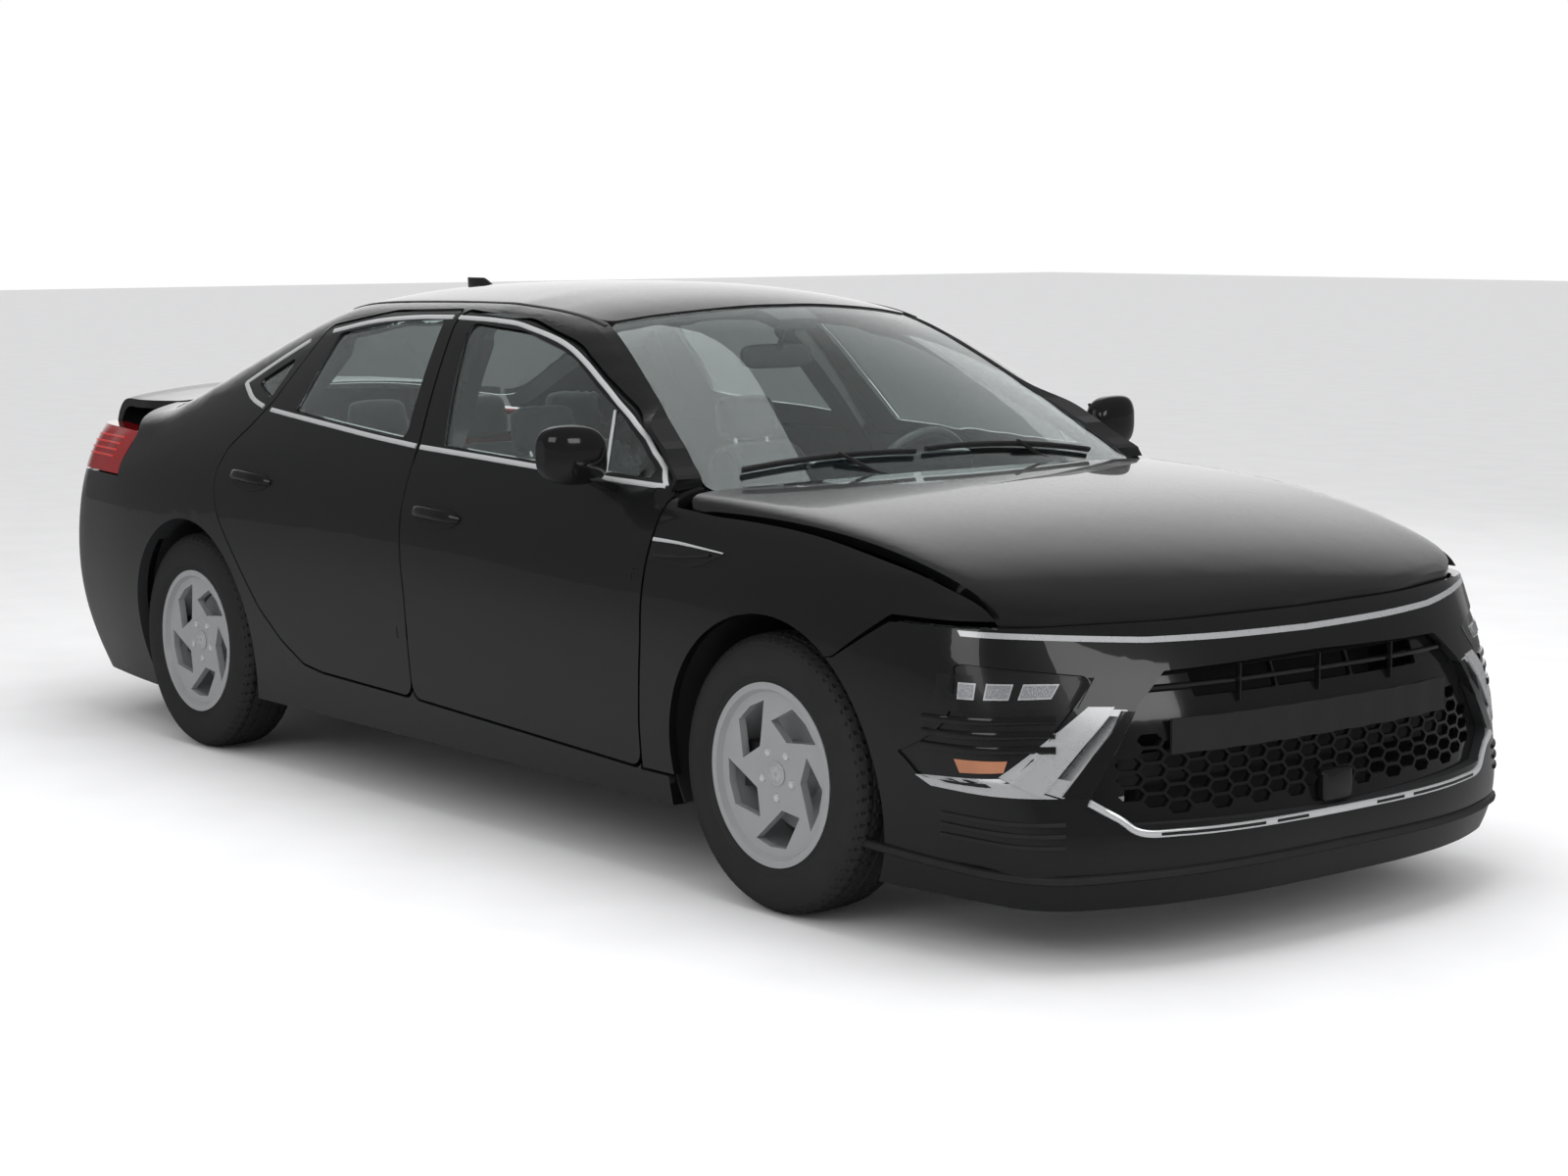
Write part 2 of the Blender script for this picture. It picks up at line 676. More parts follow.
def floor_finish(colour):
    """Pale matt floor with a fine speckle, seen darker in reflections."""
    material = finish("studio_floor", colour, 0.75, grain=160.0, bump=0.05, spread=0.05)
    tree = material.node_tree
    shader = tree.nodes["Principled BSDF"]
    light = tree.nodes.new("ShaderNodeLightPath")
    share = math_node(tree, "MULTIPLY", light.outputs["Is Glossy Ray"], 0.85)
    pale = shader.inputs["Base Color"].links[0].from_socket
    tree.links.new(mixed(tree, share, pale, (0.06, 0.06, 0.062, 1)), shader.inputs["Base Color"])
    shader.inputs["Specular IOR Level"].default_value = 0.1
    return material


def studio_world(scene):
    """White to the camera and through glass, and dim in reflections but for a bright patch behind the car."""
    world = bpy.data.worlds.new("studio")
    scene.world = world
    world.use_nodes = True
    tree = world.node_tree
    background = tree.nodes["Background"]
    background.inputs["Color"].default_value = (1, 1, 1, 1)
    light = tree.nodes.new("ShaderNodeLightPath")
    heading = tree.nodes.new("ShaderNodeTexCoord")
    along = tree.nodes.new("ShaderNodeVectorMath")
    along.operation = "DOT_PRODUCT"
    tree.links.new(heading.outputs["Generated"], along.inputs[0])
    along.inputs[1].default_value = (-0.77, 0.62, 0.12)
    past = math_node(tree, "SUBTRACT", along.outputs["Value"], 0.74)
    behind = math_node(tree, "MULTIPLY", past, 4.2, clamp=True)
    mirrored_level = math_node(tree, "ADD", math_node(tree, "MULTIPLY", behind, 0.9), 0.10)
    seen = math_node(tree, "MAXIMUM", light.outputs["Is Camera Ray"], light.outputs["Is Transmission Ray"])
    glossy = light.outputs["Is Glossy Ray"]
    diffuse = math_node(tree, "MULTIPLY", math_node(tree, "SUBTRACT", 1.0, glossy), 0.92)
    level = math_node(tree, "ADD", diffuse, math_node(tree, "MULTIPLY", mirrored_level, glossy))
    tree.links.new(math_node(tree, "MAXIMUM", level, seen), background.inputs["Strength"])


def studio_lamps(look):
    """A broad lamp over the roof and one to each side."""
    lamps = (
        ("overhead", (0.4, 0.0, 4.6), (0.0, 0.0, 0.0), (5.2, 3.4), look.overhead),
        ("front_side", (3.2, -6.0, 3.6), (math.radians(58), 0.0, math.radians(25)), (4.0, 2.2), look.side),
        ("far_side", (-1.0, 6.5, 3.8), (math.radians(-60), 0.0, 0.0), (5.0, 2.0), look.side),
        ("nose", (7.5, 0.5, 3.2), (math.radians(62), 0.0, math.radians(90)), (3.6, 1.8), look.side),
    )
    for name, place, turn, extent, power in lamps:
        lamp = bpy.data.lights.new(name, "AREA")
        lamp.shape = "RECTANGLE"
        lamp.size, lamp.size_y = extent
        lamp.energy = power
        holder = bpy.data.objects.new(name, lamp)
        holder.location = place
        holder.rotation_euler = turn
        holder.visible_glossy = name in ("front_side", "nose")
        bpy.context.scene.collection.objects.link(holder)


# Finishes on the CAD nodes

class SALOON_OT_panels(bpy.types.Operator):
    """Paint, glass, metal and plastic on the pieces of the frame"""
    bl_idname = "saloon.panels"
    bl_label = "Panels"

    def execute(self, context):
        by_node = {
            "floor_pan": plain("underbody_coat"), "front_frame": plain("underbody_coat"),
            "boot_floor": plain("underbody_coat"), "engine_block": plain("cast_metal"),
            "exhaust": plain("exhaust_steel"), "steering_wheel": plain("grip_leather"),
            "dashboard": cabin_plastic(), "centre_console": cabin_plastic(), "winglets": satin_silver(),
            "light_bar": satin_silver(), "grille": plain("gloss_black"), "headlamps": plain("lamp_room"),
            "tail_lamps": plain("red_lens"), "mirror_left": plain("gloss_black"),
            "mirror_right": plain("gloss_black"),
        }
        for name, piece in NODES.items():
            if "glass" in name:
                material = glass()
            elif name.startswith("rim"):
                material = rim_silver()
            elif name.startswith("tyre"):
                material = rubber()
            elif name.startswith("knuckle") or "suspension" in name:
                material = plain("coated_steel")
            elif "seat" in name:
                material = seat_cloth()
            else:
                material = by_node.get(name) or paint()
            piece.data.materials.clear()
            piece.data.materials.append(material)
        return {"FINISHED"}


# Bright strips, handles and blades on the sides

def window_strips(name, side):
    """The bright line round the side windows, cut where the doors part."""
    width = bpy.context.scene.saloon_body.strip_width
    front = ["door_front_" + name, "glass_front_" + name]
    rear = ["door_rear_" + name, "glass_rear_" + name]
    quarter = ["side_frame_" + name, "fixed_glass"]
    runs = (
        ("front_door_" + name, front, width, ((-0.255, 1.351), (-0.05, 1.347), (0.107, 1.334), (0.375, 1.279),
                                              (0.698, 1.134), (0.866, 1.047), (0.985, 0.972))),
        ("front_door_" + name, front, width, ((0.985, 0.972), (0.85, 0.973), (0.723, 0.976), (0.243, 0.993),
                                              (-0.122, 1.004))),
        ("front_door_" + name, front, width * 0.6, ((0.648, 1.138), (0.725, 0.984))),
        ("rear_door_" + name, rear, width, ((-0.290, 1.351), (-0.50, 1.345), (-0.72, 1.328), (-0.94, 1.294))),
        ("rear_door_" + name, rear, width, ((-0.146, 1.005), (-0.40, 1.019), (-0.624, 1.034),
                                            (-1.035, 1.060))),
        ("shell", quarter, width, ((-1.060, 1.262), (-1.19, 1.196), (-1.312, 1.126))),
        ("shell", quarter, width, ((-1.095, 1.066), (-1.20, 1.086), (-1.312, 1.126))),
    )
    shells = {}
    for body, names, wide, line in runs:
        line = smooth_line(line, 40)
        shells.setdefault(body, Shell()).bar_on(names, joined(line[:, 0], OUTSIDE * side, line[:, 1]),
                                                (0, -side, 0), 0.0, ellipse(wide / 2, 0.0035, 10, 3.0))
    for body, shell in shells.items():
        label = "quarter_" + name if body == "shell" else body
        shell.made("window_strip_" + label, plain("bright_strip"), body, "bright_trim")


def door_handle(side, place, body, node):
    """A pull handle bridging a dark hollow on one door."""
    x, z = place
    turn = np.linspace(0, 2 * np.pi, 40, endpoint=False)
    ring = np.linspace(1.0, 0.02, 6)[:, None]
    start = joined(x + 0.112 * ring * np.cos(turn), OUTSIDE * side, z + 0.030 * ring * np.sin(turn))
    hollow = Shell().tube(laid_on([node], start, (0, -side, 0), 0.0012)[0])
    hollow.made("handle_hollow_" + body, plain("lamp_room"), body, "grille_black", sharp=60)
    run = np.linspace(-1, 1, 33)
    start = joined(x + 0.112 * run, OUTSIDE * side, z + 0.006 - 0.004 * run)
    base, normals = laid_on([node], start, (0, -side, 0))
    lift = 0.034 * (1 - np.abs(run) ** 3.2)
    profile = ellipse(0.0145, 0.0065, 14, 2.6)[None] * (1 - 0.45 * np.abs(run) ** 6)[:, None, None]
    bar = Shell().bar(base + lift[:, None] * normals, normals, profile)
    bar.made("door_handle_" + body, paint_plain(), body, "body_paint", sharp=60)


def wing_vent(name, side):
    """A dark three-cornered vent behind the front wheel, with a bright blade and a slat over it."""
    def outside(x, z):
        return joined(x, OUTSIDE * side, z)

    inwards = (0, -side, 0)
    rows = smooth_line(((1.024, 0.852, 0.802), (1.10, 0.850, 0.799), (1.19, 0.847, 0.795),
                        (1.25, 0.844, 0.812), (1.31, 0.840, 0.836)), 24)
    share = np.linspace(0, 1, 9)[None, :]
    height = rows[:, 1:2] * (1 - share) + rows[:, 2:3] * share
    dark = Shell().plate_on(["front_wings"], outside(rows[:, :1], height), inwards, 0.0012, 0.002)
    dark.made("wing_vent_" + name, plain("lamp_room"), "shell", "grille_black")
    line = smooth_line(((1.026, 0.849), (1.12, 0.848), (1.22, 0.843), (1.305, 0.838)), 30)
    taper = np.linspace(1.0, 0.35, 30)[:, None, None]
    blade = Shell().bar_on(["front_wings"], outside(*line.T), inwards, 0.002,
                           ellipse(0.0052, 0.0035, 10, 3.0)[None] * taper)
    blade.made("wing_blade_" + name, plain("bright_strip"), "shell", "bright_trim")
    line = smooth_line(((1.045, 0.812), (1.12, 0.816), (1.20, 0.823), (1.26, 0.830)), 24)
    slat = Shell().bar_on(["front_wings"], outside(*line.T), inwards, 0.002, ellipse(0.004, 0.005, 10, 2.4))
    slat.made("wing_slat_" + name, plain("gloss_black"), "shell", "grille_black")


def roof_strip(name, side):
    """The dark rubber strip in the ditch along one edge of the roof."""
    line = smooth_line(((0.36, 0.552), (0.0, 0.546), (-0.4, 0.535), (-0.8, 0.518), (-1.02, 0.505)), 50)
    strip = Shell().bar_on(["roof_panel", "side_frame_" + name], joined(line[:, 0], line[:, 1] * side, ABOVE),
                           (0, 0, -1), 0.0, ellipse(0.006, 0.0025, 8, 2.6))
    strip.made("roof_strip_" + name, plain("grained_black"), "shell", "grille_black")


def pillar_foot(name, side):
    """The side frame less a wedge over the windscreen's edge, which trims the foot of its front pillar."""
    edge = np.array(((0.700, 1.182), (0.730, 1.162), (0.760, 1.143), (0.790, 1.123), (0.820, 1.106),
                     (0.850, 1.089), (0.880, 1.072), (0.910, 1.056), (0.940, 1.034), (0.970, 1.015),
                     (1.000, 0.998), (1.030, 0.979), (1.060, 0.965), (1.090, 0.956), (1.090, 1.300),
                     (0.700, 1.300)))
    reach = np.array((0.55, 0.82))[:, None] * side
    wedge = Shell().tube(joined(edge[:, 0], reach, edge[:, 1]))
    node = "side_frame_" + name
    piece = bpy.data.objects.new("trimmed_" + node, NODES[node].data.copy())
    cutter = bpy.data.objects.new("wedge", wedge.mesh("wedge"))
    for part in (piece, cutter):
        bpy.context.scene.collection.objects.link(part)
    cut = piece.modifiers.new("cut", "BOOLEAN")
    cut.operation = "DIFFERENCE"
    cut.solver = "EXACT"
    cut.object = cutter
    worked_in(piece)
    bpy.data.objects.remove(cutter)
    shaded(piece.data, 14)
    even = piece.modifiers.new("even", "WEIGHTED_NORMAL")
    even.keep_sharp = True
    even.weight = 100
    worked_in(piece)
    placed(piece, "shell", "body_paint", replaces=(node,))


def roof_fin():
    """A low aerial fin: ellipses that shrink and slide back with height."""
    rise = np.linspace(0, 1, 18)[:, None]
    front = -1.000 - 0.105 * rise ** 1.5
    back = -1.158 - 0.012 * rise
    wide = 0.026 * (1 - rise) ** 0.7 + 0.004
    top = laid_on(["roof_panel", "side_frame_left"], [[-1.03, 0.0, ABOVE]], (0, 0, -1))[0][0, 2]
    turn = np.linspace(0, 2 * np.pi, 28, endpoint=False)
    grid = joined((front + back) / 2 + (front - back) / 2 * np.cos(turn), wide * np.sin(turn),
                  np.minimum(top - 0.012 + 0.058 * rise, 1.4435))
    Shell().tube(grid).made("roof_fin", paint_plain(), "shell", "body_paint", sharp=50)


class SALOON_OT_trim(bpy.types.Operator):
    """Window strips, door handles, wing vents, roof strips and fin"""
    bl_idname = "saloon.trim"
    bl_label = "Trim"

    def execute(self, context):
        for name, side in SIDES:
            window_strips(name, side)
            door_handle(side, (0.061, 0.828), "front_door_" + name, "door_front_" + name)
            door_handle(side, (-0.970, 0.857), "rear_door_" + name, "door_rear_" + name)
            wing_vent(name, side)
            roof_strip(name, side)
            pillar_foot(name, side)
        roof_fin()
        return {"FINISHED"}


# Nose

def facing(side):
    """The direction in which a front corner's pieces are laid on the car."""
    return np.array((-0.78, 0.62 * -side, 0.0))


def lamp_patch(shell, side, corners, lift, thick, rows, cols, names=("headlamps", "front_bumper")):
    """A closed plate on the front corner of the car, given by its corners on the right flank."""
    outside = np.asarray(corners, float) * (1, -side, 1) - 0.25 * facing(side)
    shell.plate_on(names, bilinear(outside, rows, cols), facing(side), lift, thick)


def in_band(share, down):
    """A place in the lens band, by its shares inwards and downwards."""
    a, b, c, d = np.array(((2.095, -0.868, 0.632), (2.268, -0.662, 0.626), (2.264, -0.700, 0.584),
                           (2.098, -0.874, 0.580)))
    return (a * (1 - share) + b * share) * (1 - down) + (d * (1 - share) + c * share) * down


def headlamp(name, side):
    """A dark lens band with three clear units, slanted bars under it and an amber reflector."""
    room, units, frames, bars, amber = (Shell() for _ in range(5))
    lamp_patch(room, side, ((2.052, -0.884, 0.644), (2.292, -0.640, 0.634), (2.285, -0.684, 0.572),
                            (2.036, -0.893, 0.562)), 0.0010, 0.003, 8, 26)
    room.made("lamp_band_" + name, plain("lamp_room"), "shell", "lamp_clear", sharp=50)
    for low, high in ((0.02, 0.16), (0.24, 0.46), (0.54, 0.84)):
        corners = [in_band(low, 0.10), in_band(high, 0.10), in_band(high, 0.80), in_band(low, 0.80)]
        lamp_patch(frames, side, corners, 0.0030, 0.002, 4, 8)
        low, high = low + 0.015, high - 0.015
        inner = [in_band(low, 0.18), in_band(high, 0.18), in_band(high, 0.70), in_band(low, 0.70)]
        lamp_patch(units, side, inner, 0.0052, 0.0022, 5, 8)
    frames.made("lamp_frames_" + name, satin_silver(), "shell", "lamp_clear", sharp=50)
    units.made("lamp_units_" + name, plain("lamp_unit"), "shell", "lamp_clear", sharp=50)
    for outer, inner in ((0.543, 0.548), (0.512, 0.517), (0.481, 0.486)):
        line = smooth_line(((2.018, -0.8945, outer), (2.10, -0.870, outer + 0.001), (2.20, -0.800, inner),
                            (2.268, -0.735, inner)), 30) * (1, -side, 1)
        bars.bar_on(["headlamps", "front_bumper"], line - 0.25 * facing(side), facing(side), 0.002,
                    ellipse(0.0085, 0.0045, 10, 3.0))
    bars.made("lamp_bars_" + name, plain("gloss_black"), "shell", "grille_black")
    lamp_patch(amber, side, ((2.099, -0.874, 0.459), (2.212, -0.824, 0.463), (2.208, -0.831, 0.438),
                             (2.112, -0.869, 0.430)), 0.0032, 0.003, 5, 9)
    amber.made("side_reflector_" + name, plain("amber_reflector"), "shell", "lamp_red")


FACE = ["grille", "front_bumper"]
REARWARDS = (-1, 0, 0)


def upper_slats():
    """The slat right across the upper opening and its three uprights."""
    slat = Shell()
    path = laid_on(FACE, joined(AHEAD, np.linspace(-0.500, 0.500, 60), 0.600), REARWARDS, 0.006)[0]
    path[:31, 0] = np.maximum.accumulate(path[:31, 0])
    path[31:, 0] = np.maximum.accumulate(path[:30:-1, 0])[::-1]
    slat.bar(path, (1, 0, 0), ellipse(0.0065, 0.0100, 10, 3.0))
    for y in (-0.26, 0.0, 0.26):
        path = laid_on(FACE, joined(AHEAD, y, np.linspace(0.556, 0.640, 12)), REARWARDS, 0.001)[0]
        path[:, 0] = path[:, 0].max()
        slat.bar(path, (1, 0, 0), ellipse(0.0035, 0.0080, 8, 2.6))
    slat.made("upper_grille_slats", plain("gloss_black"), "shell", "grille_black")


def blank_band():
    """The plain band across the honeycomb, straight from top to bottom."""
    start = joined(AHEAD, np.linspace(-0.470, 0.470, 49)[:, None], np.linspace(0.458, 0.536, 9))
    grid = laid_on(FACE, start, REARWARDS)[0]
    grid[..., 0] = grid[..., 0].max(1, keepdims=True) + 0.0045
    band = Shell().plate(grid, np.broadcast_to((1.0, 0.0, 0.0), grid.shape), 0.006)
    band.made("blank_band", plain("grained_black"), "shell", "grille_black")


def radar_box():
    """The small square housing in the middle of the honeycomb."""
    reach = min(laid_on(FACE, [[AHEAD, 0.0, 0.305]], REARWARDS)[0][0, 0], 2.425)
    rings = ((0.050, 0.036, 0.000), (0.052, 0.038, 0.010), (0.050, 0.036, 0.016), (0.044, 0.031, 0.018))
    grid = np.stack([joined(reach + out, *(ellipse(wide, high, 24, 8.0) + (0.0, 0.345)).T)
                     for wide, high, out in rings])
    Shell().tube(grid).made("radar_box", plain("gloss_black"), "shell", "grille_black", sharp=35)


def lower_strip():
    """The bright line under the honeycomb and its dark inlays."""
    bright, dark = Shell(), Shell()
    line = smooth_line(((2.33, 0.690, 0.372), (2.352, 0.628, 0.334), (2.372, 0.578, 0.300),
                        (2.392, 0.480, 0.294), (2.408, 0.300, 0.291), (2.416, 0.000, 0.290)), 80)
    for _, side in SIDES:
        start = joined(AHEAD, line[:, 1] * side, line[:, 2])
        path = laid_on(["front_bumper", "grille"], start, REARWARDS, 0.002)[0]
        path[:, 0] = np.maximum(path[:, 0], line[:, 0])
        bright.bar(path, (1, 0, 0), ellipse(0.0085, 0.0050, 10, 3.0))
        for low, high in ((0.115, 0.225), (0.255, 0.545)):
            inlay = path[(line[:, 1] > low) & (line[:, 1] < high)] + (0.0035, 0, 0)
            dark.bar(inlay, (1, 0, 0), ellipse(0.0040, 0.0030, 8, 3.0))
    bright.made("lower_strip", plain("bright_strip"), "shell", "bright_trim")
    dark.made("lower_strip_inlays", plain("gloss_black"), "shell", "grille_black")


def front_lip():
    """The dark lip round the foot of the bumper, laid on in short runs, each along its own way in."""
    half = np.array(((1.80, -0.902, 0.222), (2.02, -0.866, 0.208), (2.20, -0.790, 0.202),
                     (2.34, -0.640, 0.204), (2.42, -0.350, 0.208)))
    line = smooth_line([*half, (2.436, 0.0, 0.210), *(half[::-1] * (1, -1, 1))], 120)
    inward = unit(joined(-0.8, -line[:, 1], 0.0))
    for index in range(0, len(line), 6):
        part = slice(index, index + 6)
        direction = unit(inward[part].mean(0))
        line[part] = laid_on(["front_bumper"], line[part] - 0.4 * direction, direction)[0]
    lip = Shell().bar(smooth_line(line[::6], len(line)), (0, 0, 1), ellipse(0.0100, 0.0110, 10, 2.4))
    lip.made("front_lip", plain("grained_black"), "shell", "grille_black")


def intake_slats():
    """Three slats in the lower corner of each side."""
    slats = Shell()
    for _, side in SIDES:
        for height in (0.330, 0.305, 0.280):
            line = smooth_line(((2.050, 0.866, height), (2.14, 0.842, height - 0.001),
                                (2.22, 0.795, height - 0.003), (2.295, 0.730, height - 0.004)), 30)
            line = line * (1, side, 1)
            slats.bar_on(["front_bumper"], line - 0.25 * facing(side), facing(side), 0.001,
                         ellipse(0.0055, 0.0040, 8, 2.6))
    slats.made("side_intake_slats", plain("grained_black"), "shell", "grille_black")


def winglet_pieces(name, side):
    """The broad silver foot of a blade, and the dark slot beside it."""
    foot, slot = Shell(), Shell()
    under = ("front_bumper", "headlamps", "winglets")
    lamp_patch(foot, side, ((1.988, -0.889, 0.410), (2.205, -0.838, 0.425), (2.285, -0.742, 0.382),
                            (2.030, -0.880, 0.390)), 0.0016, 0.003, 5, 22, under)
    lamp_patch(foot, side, ((2.200, -0.838, 0.428), (2.305, -0.672, 0.574), (2.338, -0.622, 0.571),
                            (2.262, -0.772, 0.386)), 0.0030, 0.003, 8, 16, under)
    foot.made("winglet_blade_" + name, satin_silver(), "shell", "satin_silver")
    corners = ((2.360, -0.552, 0.558), (2.352, -0.590, 0.562), (2.290, -0.738, 0.386), (2.308, -0.690, 0.380))
    start = bilinear(np.asarray(corners) * (1, -side, 1) + (0.3, 0, 0), 5, 12)
    slot.plate_on(["winglets", "front_bumper", "grille"], start, REARWARDS, 0.0022, 0.003)
    slot.made("winglet_slot_" + name, plain("gloss_black"), "shell", "grille_black")


class SALOON_OT_nose(bpy.types.Operator):
    """Lamps, slats, blank band, radar box and strips on the nose"""
    bl_idname = "saloon.nose"
    bl_label = "Nose"

    def execute(self, context):
        for name, side in SIDES:
            headlamp(name, side)
        upper_slats()
        blank_band()
        radar_box()
        lower_strip()
        front_lip()
        intake_slats()
        for name, side in SIDES:
            winglet_pieces(name, side)
        return {"FINISHED"}


# Wheels

BOLT_RADIUS = 0.05715
VALVE_RADIUS = 0.178
HUB_FACE = 0.066


def tyre(centre, name):
    """A tyre turned about its axle, with grooved tread, sidewall ribs and shoulder blocks.

    The section is a superellipse of the width; the tread lies on it, less the depth of the grooves at
    four places across, and less shallow cuts that cross the shoulders once per block.
    """
    look = bpy.context.scene.saloon_wheels
    radius = 0.3335
    half = 0.1015
    seat = 0.2145
    turns = look.blocks * 6
    across = np.concatenate([np.linspace(-1, -0.74, 9), np.linspace(-0.70, 0.70, 47),
                             np.linspace(0.74, 1, 9)])
    crown = radius - 0.010 * np.abs(across) ** 4 - 0.006 * np.clip(np.abs(across) - 0.8, 0, 1) / 0.2
    y = across * half * 0.84
    angle = np.linspace(0, 2 * np.pi, turns, endpoint=False)
    grooves = np.zeros_like(across)
    for place in (-0.62, -0.21, 0.21, 0.62):
        grooves = np.maximum(grooves, np.clip(1.6 - np.abs(across - place) / 0.028, 0, 1))
    phase = (angle[:, None] * look.blocks / (2 * np.pi) + 0.55 * across[None] ** 2) % 1
    cuts = (phase < 0.14) * (np.abs(across) > 0.66)[None] * 0.75
    middle_phase = (angle[:, None] * look.blocks / (2 * np.pi) + 0.8 * across[None]) % 1
    cuts = np.maximum(cuts, (middle_phase < 0.13) * (np.abs(np.abs(across) - 0.42) < 0.17)[None] * 0.6)
    depth = look.groove * np.maximum(grooves[None], cuts)
    tread = joined(crown - depth, y)
    down = np.linspace(0, 1, 26)[1:]
    wall_radius = tread[0, -1, 0] + (seat - tread[0, -1, 0]) * down
    bulge = half * (0.84 + 0.155 * np.sin(np.pi * np.clip(down * 0.98, 0, 1)) ** 0.8 - 0.03 * down ** 3)
    for place, height in ((0.16, 0.0012), (0.22, 0.0012), (0.30, 0.0009), (0.80, 0.0022)):
        bulge = bulge + height * np.exp(-((down - place) / 0.016) ** 2)
    outer = joined(wall_radius, bulge)
    inner = joined(wall_radius, -bulge)[::-1]
    hollow = np.array([(seat - 0.002, -0.070), (0.246, -0.082), (0.300, -0.072), (0.318, 0.0), (0.300, 0.072),
                       (0.246, 0.082), (seat - 0.002, 0.070)])[::-1]
    fixed = np.concatenate([outer, hollow])
    section = np.concatenate([np.broadcast_to(inner[None], (turns,) + inner.shape), tread,
                              np.broadcast_to(fixed[None], (turns,) + fixed.shape)], 1)
    place = section[..., 0]
    grid = joined(centre[0] + place * np.cos(angle)[:, None], centre[1] + section[..., 1],
                  centre[2] + place * np.sin(angle)[:, None])
    Shell().sheet(grid, wrap_rows=True, wrap_cols=True).made(
        "tyre_tread_" + name, rubber(), "wheel_" + name, "tyre", sharp=34, replaces=("tyre_" + name,))


def wheel_details(centre, side, name):
    """Five nuts, the plain cap and the valve of one wheel."""
    hub = centre[1] + HUB_FACE * side
    nuts = Shell()
    rings = np.array(((0.0005, -0.012), (0.0112, -0.012), (0.0112, 0.001), (0.0092, 0.004),
                      (0.0072, 0.0048), (0.0005, 0.0052)))
    six = np.linspace(0, 2 * np.pi, 6, endpoint=False)
    for index in range(5):
        turn = 2 * np.pi * index / 5 + (np.pi / 2 if side > 0 else np.pi * 0.7)
        nuts.tube(joined(centre[0] + BOLT_RADIUS * math.cos(turn) + rings[:, :1] * np.cos(six),
                         hub + side * rings[:, 1:],
                         centre[2] + BOLT_RADIUS * math.sin(turn) + rings[:, :1] * np.sin(six)))
    nuts.made("wheel_nuts_" + name, plain("bright_strip"), "wheel_" + name, "satin_silver", sharp=30)
    profile = np.array(((0.0004, 0.0045), (0.012, 0.0042), (0.019, 0.0032), (0.0205, 0.0018),
                        (0.0215, 0.0018), (0.0228, 0.0032), (0.0262, 0.0026), (0.0282, 0.0004),
                        (0.0282, -0.006), (0.0004, -0.006))) * (1, side)
    cap = Shell().sheet(turned(profile, 40, (centre[0], hub + 0.001 * side, centre[2])), wrap_rows=True)
    cap.made("wheel_cap_" + name, satin_silver(), "wheel_" + name, "satin_silver")
    angle = math.radians(63 if side < 0 else 100)
    ray = np.array((math.cos(angle), 0.0, math.sin(angle)))
    foot = centre + (0, 0.030 * side, 0) + VALVE_RADIUS * ray
    path = foot + np.linspace(0, 0.028, 6)[:, None] * ((0, 0.55 * side, 0) - ray)
    profile = ellipse(0.0035, 0.0035, 10)[None] * np.array([1.4, 1.25, 1.0, 1.0, 1.1, 0.8])[:, None, None]
    valve = Shell().bar(path, (0, 1, 0), profile)
    valve.made("valve_" + name, rubber(), "wheel_" + name, "tyre")


class SALOON_OT_wheels(bpy.types.Operator):
    """Tyres with tread, nuts, caps and valves"""
    bl_idname = "saloon.wheels"
    bl_label = "Wheels"

    def execute(self, context):
        for name, side in CORNERS:
            low, high = (np.array(corner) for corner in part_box("tyre_" + name))
            centre = (low + high) / 2
            tyre(centre, name)
            wheel_details(centre, side, name)
        return {"FINISHED"}


# Tail

FORWARDS = (1, 0, 0)


def lamp_lines():
    """Four red lines round each tail lamp."""
    lines = Shell()
    for _, side in SIDES:
        direction = unit(np.array((0.70, -0.70 * side, 0.0)))
        for height in (0.925, 0.905, 0.885, 0.865):
            line = smooth_line(((-1.985, 0.852, height), (-2.03, 0.838, height), (-2.12, 0.800, height),
                                (-2.24, 0.730, height), (-2.325, 0.620, height)), 30) * (1, side, 1)
            lines.bar_on(["tail_lamps", "rear_bumper"], line - 0.3 * direction, direction, 0.001,
                         ellipse(0.0035, 0.0022, 8, 2.6))
    lines.made("tail_lamp_lines", plain("red_line"), "shell", "lamp_red")


def lower_panel():
    """The dark panel at the foot of the bumper, its five fins and the silver strip over it."""
    start = joined(BEHIND, np.linspace(-0.66, 0.66, 67)[:, None], np.linspace(0.205, 0.300, 9))
    panel = Shell().plate_on(["rear_bumper"], start, FORWARDS, 0.0015, 0.003)
    panel.made("rear_lower_panel", plain("grained_black"), "shell", "grille_black")
    fins = Shell()
    for place in (-0.42, -0.21, 0.0, 0.21, 0.42):
        fins.bar_on(["rear_bumper"], joined(BEHIND, place, np.linspace(0.215, 0.290, 12)), FORWARDS, 0.0,
                    ellipse(0.004, 0.010, 8, 2.6))
    fins.made("rear_fins", plain("gloss_black"), "shell", "grille_black")
    across = np.linspace(-1, 1, 90)
    strip = Shell().bar_on(["rear_bumper"], joined(BEHIND, 0.70 * across, 0.312 + 0.02 * across ** 4),
                           FORWARDS, 0.001, ellipse(0.008, 0.005, 10, 3.0))
    strip.made("rear_lower_strip", satin_silver(), "shell", "satin_silver")


def rear_reflectors():
    """One red reflector in the bumper on each side."""
    reflectors = Shell()
    corners = np.array(((BEHIND, 0.66, 0.392), (BEHIND, 0.52, 0.385), (BEHIND, 0.52, 0.362),
                        (BEHIND, 0.66, 0.370)))
    for _, side in SIDES:
        reflectors.plate_on(["rear_bumper"], bilinear(corners * (1, side, 1), 4, 10), FORWARDS, 0.002, 0.004)
    reflectors.made("rear_reflectors", plain("red_reflector"), "shell", "lamp_red")


